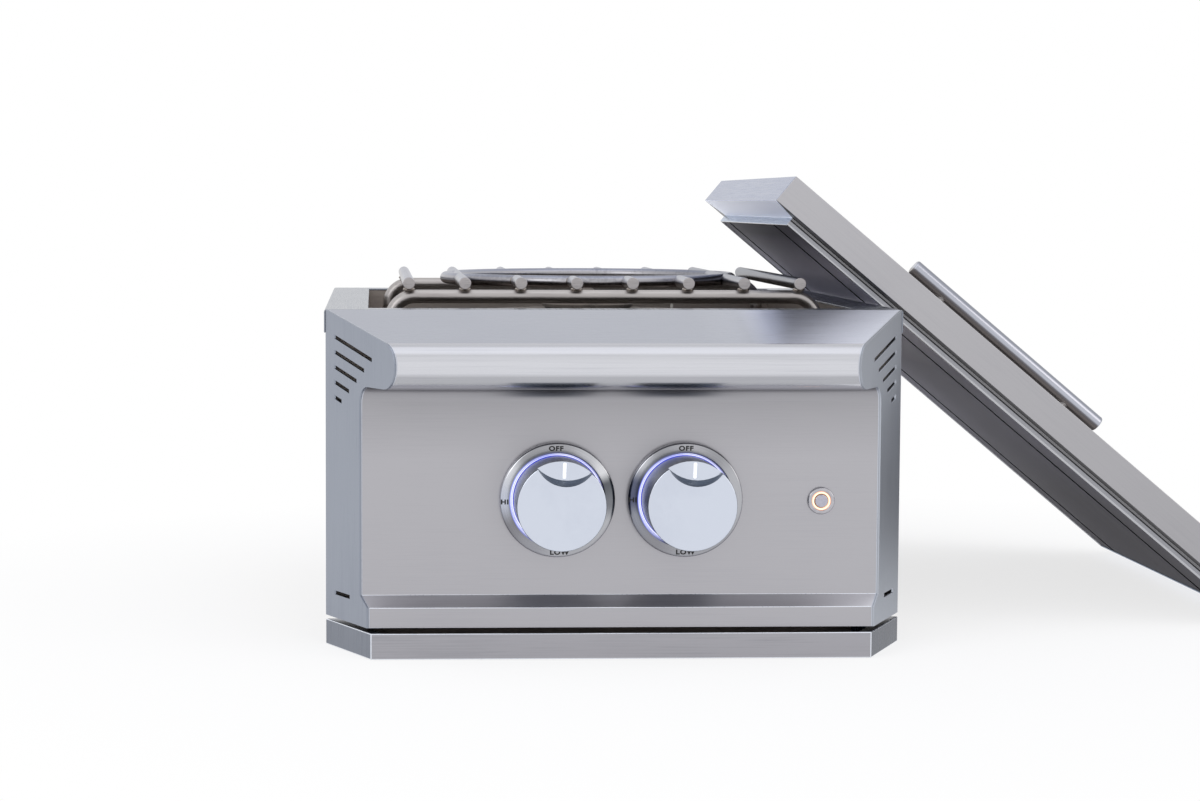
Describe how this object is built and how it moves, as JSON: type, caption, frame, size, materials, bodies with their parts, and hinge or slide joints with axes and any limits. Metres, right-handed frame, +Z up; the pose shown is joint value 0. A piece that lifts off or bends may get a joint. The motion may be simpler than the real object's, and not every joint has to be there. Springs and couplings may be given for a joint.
{
  "type": "built-in side burner",
  "caption": "Stainless drop-in side burner with a bullnose control front, round-rod grate, drip tray, lit control knobs and a lift-off lid leaning on its side.",
  "frame": {"origin": "middle of the underside of the whole at rest, with the lid leaning on the right edge of the rim", "axes": "+X to the right as seen from the front, +Y to the rear, +Z up; the control panel faces -Y"},
  "size_m": [0.68, 0.5408, 0.3151],
  "materials": {
    "brushed_front": "brushed stainless steel, lines across the front",
    "brushed_end_plate": "brushed stainless steel, lines upright",
    "sheet_steel": "plain mill-finish stainless sheet",
    "rod_steel": "polished stainless round rod, welded",
    "stem_steel": "turned steel",
    "chrome": "bright chrome plate",
    "brass": "turned brass",
    "cast_iron": "matt cast iron",
    "ceramic": "glazed white ceramic",
    "black_plastic": "moulded black plastic",
    "knob_light": "clear light guide, lit blue-white",
    "switch_light": "clear light guide, lit amber",
    "switch_cap": "satin metal push cap"
  },
  "bodies": {
    "base": {"front_panel": "brushed_front", "left_end_plate": "brushed_end_plate", "right_end_plate": "brushed_end_plate", "top_rim": "brushed_front", "heat_wall": "sheet_steel", "left_side_wall": "sheet_steel", "right_side_wall": "sheet_steel", "back_wall": "sheet_steel", "left_grate_ledge": "sheet_steel", "right_grate_ledge": "sheet_steel", "left_bezel": "chrome", "right_bezel": "chrome", "left_light_ring": "knob_light", "right_light_ring": "knob_light", "left_valve_body": "brass", "right_valve_body": "brass", "left_orifice": "brass", "right_orifice": "brass", "gas_manifold": "sheet_steel", "gas_inlet_fitting": "brass", "inner_gas_tube": "sheet_steel", "outer_gas_tube": "sheet_steel", "front_burner_bar": "sheet_steel", "rear_burner_bar": "sheet_steel", "burner_bracket": "sheet_steel", "inner_burner_head": "cast_iron", "inner_burner_cap": "cast_iron", "outer_burner_ring": "cast_iron", "inner_spark_electrode": "ceramic", "outer_spark_electrode": "ceramic", "spark_generator": "black_plastic", "light_driver": "black_plastic", "switch_housing": "chrome", "switch_light_ring": "switch_light", "switch_nut": "sheet_steel"},
    "left_stem": {"left_valve_stem": "stem_steel"},
    "left_knob": {"left_knob": "chrome"},
    "right_stem": {"right_valve_stem": "stem_steel"},
    "right_knob": {"right_knob": "chrome"},
    "switch_cap": {"switch_cap": "switch_cap"},
    "drip_tray": {"drip_tray_pan": "sheet_steel", "drip_tray_front": "brushed_front"},
    "grate": {"grate_front_rail": "rod_steel", "grate_rear_rail": "rod_steel", "grate_ring": "rod_steel", "grate_left_rod": "rod_steel", "grate_right_rod": "rod_steel", "grate_front_rod_1": "rod_steel", "grate_front_rod_2": "rod_steel", "grate_front_rod_3": "rod_steel", "grate_front_rod_4": "rod_steel", "grate_rear_rod_1": "rod_steel", "grate_rear_rod_2": "rod_steel", "grate_rear_rod_3": "rod_steel", "grate_rear_rod_4": "rod_steel"},
    "lid": {"lid_shell": "brushed_front", "lid_liner": "sheet_steel", "lid_handle_bar": "chrome", "lid_upper_handle_post": "chrome", "lid_lower_handle_post": "chrome"}
  },
  "joints": [
    {"name": "left_knob_push", "type": "slide", "parent": "base", "child": "left_stem", "axis": [0, 1, 0], "range_m": [0, 0.003], "stiffness_N_per_m": 1500, "springref_m": -0.002},
    {"name": "left_knob_turn", "type": "hinge", "parent": "left_stem", "child": "left_knob", "pos_m": [-0.18733, -0.24912, 0.10345], "axis": [0, -1, 0], "range_deg": [0, 180]},
    {"name": "right_knob_push", "type": "slide", "parent": "base", "child": "right_stem", "axis": [0, 1, 0], "range_m": [0, 0.003], "stiffness_N_per_m": 1500, "springref_m": -0.002},
    {"name": "right_knob_turn", "type": "hinge", "parent": "right_stem", "child": "right_knob", "pos_m": [-0.10373, -0.24912, 0.10345], "axis": [0, -1, 0], "range_deg": [0, 180]},
    {"name": "light_switch_press", "type": "slide", "parent": "base", "child": "switch_cap", "axis": [0, 1, 0], "range_m": [0, 0.002], "stiffness_N_per_m": 800, "springref_m": -0.001},
    {"name": "drip_tray_slide", "type": "slide", "parent": "base", "child": "drip_tray", "axis": [0, -1, 0], "range_m": [0, 0.3]},
    {"name": "grate_lift", "type": "slide", "parent": "base", "child": "grate", "axis": [0, 0, 1], "range_m": [0, 0.026]},
    {"name": "lid_lift_off", "type": "slide", "parent": "base", "child": "lid", "axis": [0.6428, 0, 0.766], "range_m": [0, 0.15]}
  ]
}
